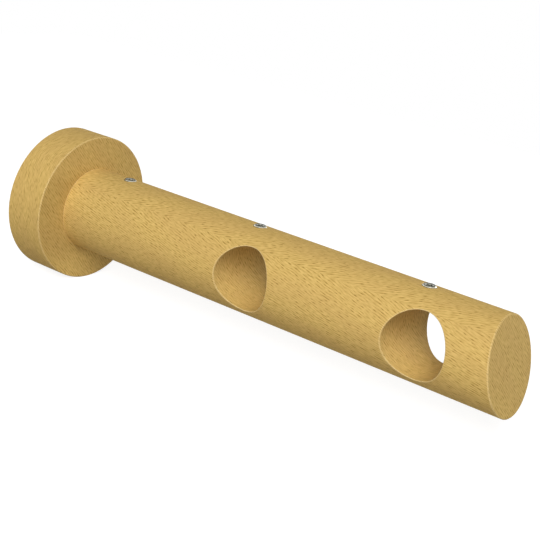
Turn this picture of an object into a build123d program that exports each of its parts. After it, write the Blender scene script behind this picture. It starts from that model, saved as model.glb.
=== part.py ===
from build123d import *
import os
from math import cos, radians, sin, sqrt, tan

# A wooden bracket that carries two curtain poles in front of a wall, one behind the other.
# The origin is the centre of the wall face. +Y goes into the wall, +Z is up and the poles run along X.
# All sizes are in millimetres, and each distance is measured out from the wall.

# Poles and their bores
pole_diameter = 28.0
pole_clearance = 0.2
inner_pole_distance = 128.6
pole_spacing = 85.3
bore_edge_chamfer = 0.3

# Stem, which runs on past the outer pole and is cut off at a slant, so that its underside is the longer
stem_diameter = 40.0
end_margin = 32.9
end_slant_degrees = 13.7
end_edge_chamfer = 0.3

# Wall disc
disc_diameter = 71.0
disc_thickness = 21.0
disc_front_chamfer = 0.3
disc_back_chamfer = 0.3

# Tenon that is glued into the disc
tenon_diameter = 26.0
glue_gap = 0.1
tenon_setback = 0.4

# Steel plate that is screwed to the wall and hides in the back of the disc
plate_diameter = 54.0
plate_thickness = 3.0
plate_edge_chamfer = 0.4
plate_side_clearance = 0.5
plate_front_clearance = 0.3
wall_screw_count = 3
wall_screw_circle = 38.0
wall_screw_hole = 5.2
wall_screw_head = 9.8
countersink_degrees = 90.0

# Steel pin that is riveted into the plate and plugs into the stem
pin_diameter = 12.0
pin_past_screw = 11.3
pin_end_chamfer = 1.2
pin_clearance = 0.2
rivet_diameter = 8.0
rivet_flare = 0.9
rivet_gap = 0.05
pin_bore_spare_depth = 2.0
pin_bore_lead_in = 0.8
drill_point_degrees = 118.0

# Groove round the pin, where the clamping screw bears
groove_play = 1.4
groove_depth = 1.8
groove_side_slope = 0.6

# Hexagon socket set screws in the top of the stem
screw_diameter = 6.0
screw_hole_clearance = 0.12
screw_proud = 0.4
screw_top_chamfer = 0.6
screw_tip_chamfer = 0.9
screw_seat_gap = 0.2
screw_socket_across_flats = 3.0
screw_socket_depth = 3.0
screw_socket_mouth = 4.2
socket_mouth_degrees = 110.0
socket_point_degrees = 120.0
screw_mouth_chamfer = 0.3
clamp_screw_distance = 42.7
pole_screw_setback = 7.4
pole_screw_back_off = 0.64

# Sizes that follow from those above
bore_radius = pole_diameter / 2 + pole_clearance
outer_pole_distance = inner_pole_distance + pole_spacing
stem_reach = outer_pole_distance + end_margin
stem_radius = stem_diameter / 2
disc_radius = disc_diameter / 2
tenon_radius = tenon_diameter / 2
plate_radius = plate_diameter / 2
pin_radius = pin_diameter / 2
pin_reach = clamp_screw_distance + pin_past_screw
rivet_radius = rivet_diameter / 2
groove_radius = pin_radius - groove_depth
groove_start = clamp_screw_distance - (screw_diameter + groove_play) / 2
groove_end = clamp_screw_distance + (screw_diameter + groove_play) / 2
pin_bore_radius = pin_radius + pin_clearance
pin_bore_reach = pin_reach + pin_bore_spare_depth
recess_depth = plate_thickness + plate_front_clearance
recess_radius = plate_radius + plate_side_clearance
tenon_start = recess_depth + tenon_setback
screw_radius = screw_diameter / 2
screw_hole_radius = screw_radius + screw_hole_clearance
screw_top = stem_radius + screw_proud
clamp_screw_length = screw_top - groove_radius - screw_seat_gap


def turned(outline):
    """Turn a solid about Y from half its section, a list of (radius, distance from the wall)."""
    corners = [(radius, -distance) for radius, distance in outline]
    section = make_face(Polyline(*corners, close=True))
    return revolve(section, Axis.Y)


def across(radius, distance):
    """A round cutter along X, through the stem's axis, at a distance from the wall."""
    return Pos(0, -distance, 0) * Rot(0, 90, 0) * Cylinder(radius, 2 * stem_diameter)


def widest_rims(disc):
    """The round edges of the largest radius, from the room side to the wall side."""
    return disc.edges().filter_by(GeomType.CIRCLE).group_by(SortBy.RADIUS)[-1].sort_by(Axis.Y)


def make_wall_disc():
    """Beech disc with a hole for the tenon and a recess in its back for the plate."""
    hole_radius = tenon_radius + glue_gap
    disc = turned([
        (recess_radius, 0),
        (disc_radius, 0),
        (disc_radius, disc_thickness),
        (hole_radius, disc_thickness),
        (hole_radius, recess_depth),
        (recess_radius, recess_depth),
    ])
    disc = chamfer(widest_rims(disc)[0], disc_front_chamfer)
    return chamfer(widest_rims(disc)[-1], disc_back_chamfer)


def pin_hole():
    """Cutter for the blind hole that the pin plugs into, with its lead-in and drill point."""
    point_length = pin_bore_radius / tan(radians(drill_point_degrees / 2))
    return turned([
        (0, 0),
        (pin_bore_radius + pin_bore_lead_in + tenon_start, 0),
        (pin_bore_radius, tenon_start + pin_bore_lead_in),
        (pin_bore_radius, pin_bore_reach),
        (0, pin_bore_reach + point_length),
    ])


def screw_hole(distance):
    """Cutter for a screw hole from the top of the stem down to its axis, with an eased mouth."""
    drill = Cylinder(screw_hole_radius, 2 * stem_radius, align=(Align.CENTER, Align.CENTER, Align.MIN))
    mouth_radius = screw_hole_radius + screw_mouth_chamfer + stem_radius
    mouth = Cone(screw_hole_radius, mouth_radius, mouth_radius - screw_hole_radius,
                 align=(Align.CENTER, Align.CENTER, Align.MIN))
    mouth = Pos(0, 0, stem_radius - screw_mouth_chamfer) * mouth
    return Pos(0, -distance, 0) * (drill + mouth)


def make_stem():
    """Beech rod turned with a tenon, cut off at a slant, then bored across for the poles."""
    rough_length = stem_reach + stem_diameter
    rod = turned([
        (0, tenon_start),
        (tenon_radius, tenon_start),
        (tenon_radius, disc_thickness),
        (stem_radius, disc_thickness),
        (stem_radius, rough_length),
        (0, rough_length),
    ])
    slant = radians(end_slant_degrees)
    end_plane = Plane(origin=(0, -stem_reach, 0), x_dir=(1, 0, 0), z_dir=(0, -cos(slant), sin(slant)))
    rod = split(rod, bisect_by=end_plane, keep=Keep.BOTTOM)
    end_rim = rod.faces().sort_by(Axis.Y)[0].edges()
    rod = chamfer(end_rim, end_edge_chamfer)
    bored = rod - across(bore_radius, inner_pole_distance) - across(bore_radius, outer_pole_distance)
    mouths = new_edges(rod, combined=bored).filter_by(GeomType.LINE, reverse=True)
    stem = chamfer(mouths, bore_edge_chamfer) - pin_hole()
    for distance in screw_distances():
        stem -= screw_hole(distance)
    return stem


def screw_distances():
    """Distances of the three screws from the wall."""
    return (
        clamp_screw_distance,
        inner_pole_distance - pole_screw_setback,
        outer_pole_distance - pole_screw_setback,
    )


def pole_screw_length():
    """Length that stops a screw short of the bore, so that a pole slides in past it."""
    near_side = pole_screw_setback - screw_radius
    roof = sqrt(bore_radius ** 2 - near_side ** 2)
    return screw_top - roof - pole_screw_back_off


def make_set_screw(length, distance):
    """Headless screw with a hexagon socket, standing in the stem with its top a little proud."""
    core = screw_radius - screw_tip_chamfer
    rim = screw_radius - screw_top_chamfer
    section = Plane.XZ * make_face(Polyline(
        (0, 0),
        (rim, 0),
        (screw_radius, -screw_top_chamfer),
        (screw_radius, screw_tip_chamfer - length),
        (core, -length),
        (0, -length),
        close=True,
    ))
    screw = revolve(section, Axis.Z)
    socket = extrude(RegularPolygon(screw_socket_across_flats / 2, 6, major_radius=False), -screw_socket_depth)
    point_radius = screw_socket_across_flats / 2
    point_depth = point_radius / tan(radians(socket_point_degrees / 2))
    point = Cone(0, point_radius, point_depth, align=(Align.CENTER, Align.CENTER, Align.MAX))
    screw -= socket
    mouth_radius = screw_socket_mouth / 2
    mouth_depth = mouth_radius / tan(radians(socket_mouth_degrees / 2))
    screw -= Cone(0, mouth_radius, mouth_depth, align=(Align.CENTER, Align.CENTER, Align.MAX))
    screw -= Pos(0, 0, -screw_socket_depth) * point
    return Pos(0, -distance, screw_top) * screw


def make_wall_plate():
    """Round steel plate with a riveting hole in its middle and countersunk holes round it."""
    hole = rivet_radius + rivet_gap
    plate = turned([
        (hole + rivet_flare, 0),
        (plate_radius, 0),
        (plate_radius, plate_thickness - plate_edge_chamfer),
        (plate_radius - plate_edge_chamfer, plate_thickness),
        (hole, plate_thickness),
        (hole, rivet_flare),
    ])
    hole_radius = wall_screw_hole / 2
    head_radius = wall_screw_head / 2
    sink_depth = (head_radius - hole_radius) / tan(radians(countersink_degrees / 2))
    drill = Cylinder(hole_radius, 3 * plate_thickness)
    sink = Cone(hole_radius, head_radius, sink_depth, align=(Align.CENTER, Align.CENTER, Align.MAX))
    cutter = drill + Pos(0, 0, plate_thickness) * sink
    for place in PolarLocations(wall_screw_circle / 2, wall_screw_count, start_angle=90):
        plate -= Plane.XZ * place * cutter
    return plate


def make_plate_pin():
    """Turned steel pin with a grooved end and a tail that is riveted flush into the plate."""
    return turned([
        (0, 0),
        (rivet_radius + rivet_flare, 0),
        (rivet_radius, rivet_flare),
        (rivet_radius, plate_thickness),
        (pin_radius, plate_thickness),
        (pin_radius, groove_start - groove_side_slope),
        (groove_radius, groove_start),
        (groove_radius, groove_end),
        (pin_radius, groove_end + groove_side_slope),
        (pin_radius, pin_reach - pin_end_chamfer),
        (pin_radius - pin_end_chamfer, pin_reach),
        (0, pin_reach),
    ])


clamp_distance, inner_distance, outer_distance = screw_distances()
nodes = {
    "wall_disc": make_wall_disc(),
    "stem": make_stem(),
    "wall_plate": make_wall_plate(),
    "plate_pin": make_plate_pin(),
    "clamp_set_screw": make_set_screw(clamp_screw_length, clamp_distance),
    "inner_pole_set_screw": make_set_screw(pole_screw_length(), inner_distance),
    "outer_pole_set_screw": make_set_screw(pole_screw_length(), outer_distance),
}

os.makedirs("parts", exist_ok=True)
for name, solid in nodes.items():
    export_step(solid, f"parts/{name}.step")
    print(name, round(solid.volume, 1))
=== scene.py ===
from math import cos, pi, radians, sin

import bmesh
import bpy
from mathutils import Matrix, Vector


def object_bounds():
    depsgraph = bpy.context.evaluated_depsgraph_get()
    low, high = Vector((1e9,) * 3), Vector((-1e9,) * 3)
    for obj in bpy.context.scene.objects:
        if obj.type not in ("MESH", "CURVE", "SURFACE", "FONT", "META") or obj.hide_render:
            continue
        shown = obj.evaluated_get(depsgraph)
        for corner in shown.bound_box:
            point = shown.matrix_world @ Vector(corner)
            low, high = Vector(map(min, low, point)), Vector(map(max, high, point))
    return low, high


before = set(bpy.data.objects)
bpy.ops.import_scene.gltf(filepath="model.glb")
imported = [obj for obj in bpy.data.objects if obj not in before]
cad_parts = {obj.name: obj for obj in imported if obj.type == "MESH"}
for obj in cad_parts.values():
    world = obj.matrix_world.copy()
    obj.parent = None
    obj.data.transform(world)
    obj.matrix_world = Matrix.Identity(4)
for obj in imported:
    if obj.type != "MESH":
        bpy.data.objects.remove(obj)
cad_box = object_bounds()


# Wall plate
# A round plate punched from 3 mm steel sheet and zinc plated. Three screws through its countersunk holes
# fix it to the wall, and it hides in the back of the wooden disc.

mm = 0.001


def linear(code):
    """The linear colour of an sRGB hex code."""
    colour = []
    for at in (1, 3, 5):
        part = int(code[at:at + 2], 16) / 255
        colour.append(part / 12.92 if part <= 0.04045 else ((part + 0.055) / 1.055) ** 2.4)
    return (*colour, 1.0)


def add(tree, kind, sockets=None, **settings):
    """Add a node with these settings, and return its outputs in use by name. Each input is given a value, or
    another node's output to be linked to. It goes by its name, or by its number where names repeat."""
    node = tree.nodes.new(kind)
    for name, value in settings.items():
        setattr(node, name, value)
    named = {socket.name: socket for socket in node.inputs if socket.enabled}
    for key, value in (sockets or {}).items():
        socket = named[key] if key in named else node.inputs[key]
        if isinstance(value, bpy.types.NodeSocket):
            tree.links.new(value, socket)
        else:
            socket.default_value = value
    return {socket.name: socket for socket in node.outputs if socket.enabled}


def new_material(name):
    """A material with an empty node tree."""
    material = bpy.data.materials.new(name)
    material.use_nodes = True
    material.node_tree.nodes.clear()
    return material, material.node_tree


def dress(piece, material):
    """Put one material on a whole piece."""
    for slot in piece.material_slots:
        slot.material = material


# Zinc plating, blue passivated: a cool grey metal whose crystals break its reflections up softly. They are
# finer on the real plate, and are drawn as coarse as they need to show.
zinc_plate, tree = new_material("zinc_plated_steel")
place = add(tree, "ShaderNodeTexCoord")["Object"]
crystal_size = 0.9 * mm
crystals = add(tree, "ShaderNodeTexNoise", {"Vector": place, "Scale": 1 / crystal_size, "Detail": 2.0})["Fac"]
cloud_size = 14 * mm
clouds = add(tree, "ShaderNodeTexNoise", {"Vector": place, "Scale": 1 / cloud_size, "Detail": 3.0})["Fac"]
tint = add(tree, "ShaderNodeMix", {
    "Factor": clouds, "A": linear("#979A9E"), "B": linear("#B5B8BB"),
}, data_type="RGBA")["Result"]
gloss = add(tree, "ShaderNodeMapRange", {
    "Value": crystals, "From Min": 0.3, "From Max": 0.7, "To Min": 0.28, "To Max": 0.42,
})["Result"]
relief = add(tree, "ShaderNodeBump", {"Height": crystals, "Strength": 0.25, "Distance": 0.02 * mm})["Normal"]
metal = add(tree, "ShaderNodeBsdfPrincipled", {
    "Base Color": tint, "Metallic": 1.0, "Roughness": gloss, "Normal": relief,
})["BSDF"]
add(tree, "ShaderNodeOutputMaterial", {"Surface": metal})
dress(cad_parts["wall_plate"], zinc_plate)


# Plate pin
# A steel pin turned on a lathe, with a groove round it for the clamping screw. Its tail is riveted into the
# plate, and the stem plugs on to it.

# At a scale of 1, Blender's wave texture turns through this many radians in one unit of length.
wave_radians = 20

# Free cutting steel as the lathe left it: bright, with fine turning marks that run round it.
turned_steel, tree = new_material("turned_steel")
place = add(tree, "ShaderNodeTexCoord")["Object"]
feed = 0.16 * mm
marks = add(tree, "ShaderNodeTexWave", {
    "Vector": place, "Scale": 2 * pi / feed / wave_radians, "Distortion": 0.6, "Detail": 1.0,
    "Detail Scale": 2.0,
}, wave_type="BANDS", bands_direction="Y")["Fac"]
stain_size = 6 * mm
stains = add(tree, "ShaderNodeTexNoise", {"Vector": place, "Scale": 1 / stain_size, "Detail": 4.0})["Fac"]
tint = add(tree, "ShaderNodeMix", {
    "Factor": stains, "A": linear("#A8A6A2"), "B": linear("#C4C2BE"),
}, data_type="RGBA")["Result"]
gloss = add(tree, "ShaderNodeMapRange", {"Value": marks, "To Min": 0.22, "To Max": 0.34})["Result"]
relief = add(tree, "ShaderNodeBump", {"Height": marks, "Strength": 0.3, "Distance": 0.01 * mm})["Normal"]
metal = add(tree, "ShaderNodeBsdfPrincipled", {
    "Base Color": tint, "Metallic": 1.0, "Roughness": gloss, "Normal": relief,
})["BSDF"]
add(tree, "ShaderNodeOutputMaterial", {"Surface": metal})
dress(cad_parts["plate_pin"], turned_steel)


# Wall disc
# Beech, turned on a lathe from a board and clear lacquered. It is glued on to the stem's tenon, and it
# covers the wall plate.

def laid_along(grain, normal):
    """The turn that lays a pattern's length along the grain, on a side of the wood with this normal."""
    length = (grain - normal * grain.dot(normal)).normalized()
    return Matrix((length, normal.cross(length), normal)).transposed().to_euler()


def grain_place(tree, grain):
    """The place of each point in a pattern, in millimetres, and whether the wood looks endways there. The
    pattern lies flat on the left and right sides, the ends and the top, and runs along the grain on each."""
    surface = add(tree, "ShaderNodeTexCoord")
    views = []
    # The pattern of the ends is drawn a fifth coarser, so that it shows.
    for normal, unit in ((Vector((1, 0, 0)), mm), (Vector((0, 1, 0)), 1.2 * mm), (Vector((0, 0, 1)), mm)):
        views.append(add(tree, "ShaderNodeMapping", {
            "Vector": surface["Object"], "Rotation": laid_along(grain, normal), "Scale": (unit, unit, unit),
        }, vector_type="TEXTURE")["Vector"])
    on_sides, on_ends, on_top = views
    facing = add(tree, "ShaderNodeVectorMath", {0: surface["Normal"]}, operation="ABSOLUTE")["Vector"]
    facing = add(tree, "ShaderNodeSeparateXYZ", {"Vector": facing})
    across = {0: facing["X"], 1: facing["Z"]}
    sideways = add(tree, "ShaderNodeMath", across, operation="GREATER_THAN")["Value"]
    widest = add(tree, "ShaderNodeMath", across, operation="MAXIMUM")["Value"]
    endways = add(tree, "ShaderNodeMath", {0: facing["Y"], 1: widest}, operation="GREATER_THAN")["Value"]
    place = add(tree, "ShaderNodeMix", {
        "Factor": sideways, "A": on_top, "B": on_sides,
    }, data_type="VECTOR")["Result"]
    place = add(tree, "ShaderNodeMix", {
        "Factor": endways, "A": place, "B": on_ends,
    }, data_type="VECTOR")["Result"]
    return place, endways


def beech_fibres(tree, place):
    """Fibres that run along the wood, and four patterns that are stretched along them, each named for its
    use. All sizes are in millimetres. A slow sway keeps the rows from looking ruled."""
    sway_length = 14
    sway_width = 1.0
    sway = add(tree, "ShaderNodeTexNoise", {
        "Vector": place, "Scale": 1 / sway_length, "Detail": 1.0,
    }, noise_dimensions="2D")["Color"]
    sway = add(tree, "ShaderNodeVectorMath", {
        0: sway, 1: (sway_width, sway_width, 0.0),
    }, operation="MULTIPLY")["Vector"]
    swayed = add(tree, "ShaderNodeVectorMath", {0: place, 1: sway}, operation="ADD")["Vector"]

    fibre_spacing = 0.9
    ripple_stretch = 4
    squeezed = add(tree, "ShaderNodeVectorMath", {
        0: swayed, 1: (1 / ripple_stretch, 1.0, 0.0),
    }, operation="MULTIPLY")["Vector"]
    fibres = add(tree, "ShaderNodeTexWave", {
        "Vector": squeezed, "Scale": 2 * pi / fibre_spacing / wave_radians, "Distortion": 2.8, "Detail": 1.0,
        "Detail Scale": 0.9,
    }, wave_type="BANDS", bands_direction="Y")["Fac"]

    noises = {}
    for name, length, width in (
        ("breaks", 2.3, 0.6),
        ("rays", 2.0, 0.65),
        ("lines", 2.8, 0.32),
        ("cloud", 26, 9),
    ):
        stretched = add(tree, "ShaderNodeVectorMath", {
            0: swayed, 1: (1 / length, 1 / width, 1.0),
        }, operation="MULTIPLY")["Vector"]
        noises[name] = add(tree, "ShaderNodeTexNoise", {
            "Vector": stretched, "Scale": 1.0, "Detail": 0.0,
        }, noise_dimensions="2D")["Fac"]
    return fibres, noises


def eased_edges_and_highlight(tree):
    """The wood's surface as fine paper leaves it, with its crisp edges eased, and a painted highlight along
    them.
    The painted highlight starts where the easing turns the surface by more than 10 degrees, and is strongest
    from 23 degrees on."""
    easing = 0.5 * mm
    eased = add(tree, "ShaderNodeBevel", {"Radius": easing}, samples=8)["Normal"]
    uneased = add(tree, "ShaderNodeNewGeometry")["Normal"]
    likeness = add(tree, "ShaderNodeVectorMath", {0: eased, 1: uneased}, operation="DOT_PRODUCT")["Value"]
    edge_highlight = add(tree, "ShaderNodeMapRange", {
        "Value": likeness, "From Min": 0.985, "From Max": 0.92, "To Min": 0.0, "To Max": 0.9,
    })["Result"]
    return eased, edge_highlight


def beech(name, grain):
    """Beech under a clear satin lacquer: an even, warm yellow with many short brown flecks. They run along
    the grain on each side of the wood, and meet in arrows where one side turns into the next, as on the real
    bracket."""
    material, tree = new_material(name)
    place, endways = grain_place(tree, grain)
    fibres, noises = beech_fibres(tree, place)

    # The fibres are broken into dashes some 2 mm long and half a millimetre wide. Finer lines run between
    # them, coarser here than in real beech so that they show. Both are a little fainter on the ends.
    crests = add(tree, "ShaderNodeMapRange", {"Value": fibres, "From Min": 0.4, "From Max": 1.0})["Result"]
    breaks = add(tree, "ShaderNodeMapRange", {
        "Value": noises["breaks"], "From Min": 0.3, "From Max": 0.65,
    })["Result"]
    dashes = add(tree, "ShaderNodeMath", {0: crests, 1: breaks}, operation="MULTIPLY")["Value"]
    fine = add(tree, "ShaderNodeMapRange", {
        "Value": noises["lines"], "From Min": 0.3, "From Max": 0.7,
    })["Result"]
    tone = add(tree, "ShaderNodeMix", {"Factor": 0.4, "A": dashes, "B": fine})["Result"]
    strength = add(tree, "ShaderNodeMapRange", {"Value": endways, "To Min": 1.0, "To Max": 0.95})["Result"]
    tone = add(tree, "ShaderNodeMath", {0: tone, 1: strength}, operation="MULTIPLY")["Value"]
    tint = add(tree, "ShaderNodeMix", {
        "Factor": tone, "A": linear("#D8B76E"), "B": linear("#AD8B48"),
    }, data_type="RGBA")["Result"]

    # Slow clouds of a softer brown, where the board's growth rings come to the surface.
    veil = add(tree, "ShaderNodeMapRange", {
        "Value": noises["cloud"], "From Min": 0.3, "From Max": 0.7, "To Min": 0.0, "To Max": 0.3,
    })["Result"]
    tint = add(tree, "ShaderNodeMix", {
        "Factor": veil, "A": tint, "B": linear("#C5A163"),
    }, data_type="RGBA")["Result"]

    # Here and there a dash is a dark fleck, where the surface cuts a ray of the wood.
    rays = add(tree, "ShaderNodeMapRange", {
        "Value": noises["rays"], "From Min": 0.6, "From Max": 0.68,
    })["Result"]
    flecks = add(tree, "ShaderNodeMath", {0: dashes, 1: rays}, operation="MULTIPLY")["Value"]
    strength = add(tree, "ShaderNodeMapRange", {"Value": endways, "To Min": 0.6, "To Max": 0.37})["Result"]
    flecks = add(tree, "ShaderNodeMath", {0: flecks, 1: strength}, operation="MULTIPLY")["Value"]
    tint = add(tree, "ShaderNodeMix", {
        "Factor": flecks, "A": tint, "B": linear("#7C5C1E"),
    }, data_type="RGBA")["Result"]

    # A painted highlight makes the eased edges paler.
    eased, edge_highlight = eased_edges_and_highlight(tree)
    tint = add(tree, "ShaderNodeMix", {
        "Factor": edge_highlight, "A": tint, "B": linear("#F2DAA4"),
    }, data_type="RGBA")["Result"]

    # The thin lacquer hardly shines, so its IOR is well under the usual 1.5.
    gloss = add(tree, "ShaderNodeMapRange", {"Value": fibres, "To Min": 0.62, "To Max": 0.74})["Result"]
    relief = add(tree, "ShaderNodeBump", {
        "Height": dashes, "Strength": 0.15, "Distance": 0.05 * mm, "Normal": eased,
    }, invert=True)["Normal"]
    wood = add(tree, "ShaderNodeBsdfPrincipled", {
        "Base Color": tint, "Roughness": gloss, "IOR": 1.12, "Normal": relief,
    })["BSDF"]
    add(tree, "ShaderNodeOutputMaterial", {"Surface": wood})
    return material


# The flecks' direction, as each side of the disc shows a part of it.
disc_grain = Vector((0.66, -0.21, -0.70))
dress(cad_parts["wall_disc"], beech("beech_across_the_disc", disc_grain))


# Stem
# A beech rod, turned with a tenon at its wall end, cut off at a slant, bored across for the poles and clear
# lacquered. It is glued into the disc.

stem_grain = Vector((0.21, -0.95, -0.22))
dress(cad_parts["stem"], beech("beech_along_the_stem", stem_grain))


# Set screws
# Three headless steel screws with hexagon sockets, screwed into the top of the stem. The one near the disc
# clamps the plate's pin, and the other two hold the poles.

def screw_steel(name, middle):
    """Hardened steel with a clear zinc finish. Painted light brightens the pressed socket, and a painted
    highlight brightens the turned edge of the top. A painted dark reflection darkens the flat of the top, and
    painted shade darkens the thread where it meets the wood."""
    material, tree = new_material(name)
    place = add(tree, "ShaderNodeTexCoord")["Object"]
    from_axis = add(tree, "ShaderNodeVectorMath", {0: place, 1: middle}, operation="SUBTRACT")["Vector"]
    from_axis = add(tree, "ShaderNodeVectorMath", {
        0: from_axis, 1: (1.0, 1.0, 0.0),
    }, operation="MULTIPLY")["Vector"]
    radius = add(tree, "ShaderNodeVectorMath", {0: from_axis}, operation="LENGTH")["Value"]

    # The grit of the finish, drawn as coarse as it needs to show.
    grit_size = 0.35 * mm
    grit = add(tree, "ShaderNodeTexNoise", {"Vector": place, "Scale": 1 / grit_size, "Detail": 2.0})["Fac"]

    # Outward from the socket come the flat, the edge and the thread. Each takes over between two radii in
    # millimetres, and its colour varies with the grit between a dark and a light tint. All these tints are
    # painted
    # light and shade: light in the socket, a dark reflection on the flat, a highlight on the edge, shade on
    # the thread.
    # The socket's tints are painted light that brightens its hollow.
    dark = linear("#A9A9A0")
    light = linear("#E4E3D8")
    for start, end, next_dark, next_light in (
        # The flat, darkened by a painted dark reflection.
        (1.7, 1.8, "#3E3E36", "#6C6C62"),
        # The edge, brightened by a painted highlight.
        (2.6, 2.72, "#AFAA99", "#DEDAC9"),
        # The thread, darkened by painted shade where it meets the wood.
        (2.9, 2.97, "#32312C", "#55534D"),
    ):
        step = add(tree, "ShaderNodeMapRange", {
            "Value": radius, "From Min": start * mm, "From Max": end * mm,
        })["Result"]
        dark = add(tree, "ShaderNodeMix", {
            "Factor": step, "A": dark, "B": linear(next_dark),
        }, data_type="RGBA")["Result"]
        light = add(tree, "ShaderNodeMix", {
            "Factor": step, "A": light, "B": linear(next_light),
        }, data_type="RGBA")["Result"]
    tint = add(tree, "ShaderNodeMix", {"Factor": grit, "A": dark, "B": light}, data_type="RGBA")["Result"]

    gloss = add(tree, "ShaderNodeMapRange", {"Value": grit, "To Min": 0.2, "To Max": 0.36})["Result"]
    relief = add(tree, "ShaderNodeBump", {"Height": grit, "Strength": 0.2, "Distance": 0.01 * mm})["Normal"]
    metal = add(tree, "ShaderNodeBsdfPrincipled", {
        "Base Color": tint, "Metallic": 1.0, "Roughness": gloss, "Normal": relief,
    })["BSDF"]
    add(tree, "ShaderNodeOutputMaterial", {"Surface": metal})
    return material


for name in ("clamp", "inner_pole", "outer_pole"):
    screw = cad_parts[name + "_set_screw"]
    corners = [Vector(corner) for corner in screw.bound_box]
    middle = sum(corners, Vector()) / len(corners)
    dress(screw, screw_steel("screw_steel_" + name, middle))


# Studio
# A pale floor under the bracket, four soft lamps round it and a camera. The background is white to the
# camera and in reflections, and gives hardly any light.

floor_level = cad_box[0][2]
floor_half = 0.7
mesh = bmesh.new()
bmesh.ops.create_grid(mesh, x_segments=1, y_segments=1, size=floor_half)
bmesh.ops.translate(mesh, verts=mesh.verts, vec=(0, 0, floor_level))
floor_mesh = bpy.data.meshes.new("floor")
mesh.to_mesh(floor_mesh)
mesh.free()
floor = bpy.data.objects.new("floor", floor_mesh)
bpy.context.scene.collection.objects.link(floor)

# Matt white paper. It glows for the camera and in reflections only, so that it is white where the lamps
# reach it and pale grey in the shadow. The wood gets no more light than the paper throws back.
paper, tree = new_material("white_paper")
ray = add(tree, "ShaderNodeLightPath")
bounce = add(tree, "ShaderNodeBsdfDiffuse", {"Color": linear("#BCBCBC")})["BSDF"]
shade = add(tree, "ShaderNodeBsdfDiffuse", {"Color": linear("#A0A0A0")})["BSDF"]
glow = add(tree, "ShaderNodeEmission", {"Color": linear("#FFFFFF"), "Strength": 0.87})["Emission"]
bright = add(tree, "ShaderNodeAddShader", {0: shade, 1: glow})["Shader"]
seen = add(tree, "ShaderNodeMath", {
    0: ray["Is Camera Ray"], 1: ray["Is Glossy Ray"],
}, operation="MAXIMUM")["Value"]
surface = add(tree, "ShaderNodeMixShader", {0: seen, 1: bounce, 2: bright})["Shader"]
add(tree, "ShaderNodeOutputMaterial", {"Surface": surface})
floor.data.materials.append(paper)

world = bpy.data.worlds.new("studio")
bpy.context.scene.world = world
world.use_nodes = True
tree = world.node_tree
tree.nodes.clear()
ray = add(tree, "ShaderNodeLightPath")
seen = add(tree, "ShaderNodeMath", {
    0: ray["Is Camera Ray"], 1: ray["Is Glossy Ray"],
}, operation="MAXIMUM")["Value"]
seen = add(tree, "ShaderNodeMath", {0: seen, 1: ray["Is Transmission Ray"]}, operation="MAXIMUM")["Value"]
fill = add(tree, "ShaderNodeBackground", {"Color": linear("#FFFFFF"), "Strength": 0.04})["Background"]
white = add(tree, "ShaderNodeBackground", {"Color": linear("#FFFFFF"), "Strength": 1.0})["Background"]
backdrop = add(tree, "ShaderNodeMixShader", {0: seen, 1: fill, 2: white})["Shader"]
add(tree, "ShaderNodeOutputWorld", {"Surface": backdrop})

# Each lamp is square and looks at the middle of the bracket. Azimuth 0 is in front of it, 90 is on its
# right, and the power is in watts.
lamp_aim = Vector((0, -0.12, 0))
lamp_distance = 1.8
for name, azimuth, elevation, size, power in (
    ("key", -67, 32, 0.9, 26.5),
    ("upper", -50, 50, 0.9, 10),
    ("right", 72, 10, 0.9, 14),
    ("rear", 178, 12, 1.6, 6),
):
    light = bpy.data.lights.new(name, "AREA")
    light.size = size
    light.energy = power
    lamp = bpy.data.objects.new(name, light)
    level = cos(radians(elevation))
    outward = Vector((level * sin(radians(azimuth)), -level * cos(radians(azimuth)), sin(radians(elevation))))
    lamp_turn = outward.to_track_quat("Z", "Y").to_matrix().to_4x4()
    lamp.matrix_world = Matrix.Translation(lamp_aim + lamp_distance * outward) @ lamp_turn
    bpy.context.scene.collection.objects.link(lamp)

# The camera looks along the bracket from its left and a little above. Its place, and its angles in radians,
# were fitted to the outlines in the photograph.
camera_spot = Vector((-0.3879887, -0.3902999, 0.1448292))
camera_heading = -0.9799767
camera_dip = 0.2961377
camera_roll = 0.1673109
optics = bpy.data.cameras.new("camera")
optics.sensor_width = 36
optics.lens = 74.325
optics.clip_start = 0.01
camera = bpy.data.objects.new("camera", optics)
turn = Matrix.Rotation(camera_heading, 4, "Z")
tilt = Matrix.Rotation(pi / 2 - camera_dip, 4, "X")
roll = Matrix.Rotation(camera_roll, 4, "Z")
camera.matrix_world = Matrix.Translation(camera_spot) @ turn @ tilt @ roll
bpy.context.scene.collection.objects.link(camera)
bpy.context.scene.camera = camera
bpy.context.scene.view_settings.view_transform = "Standard"
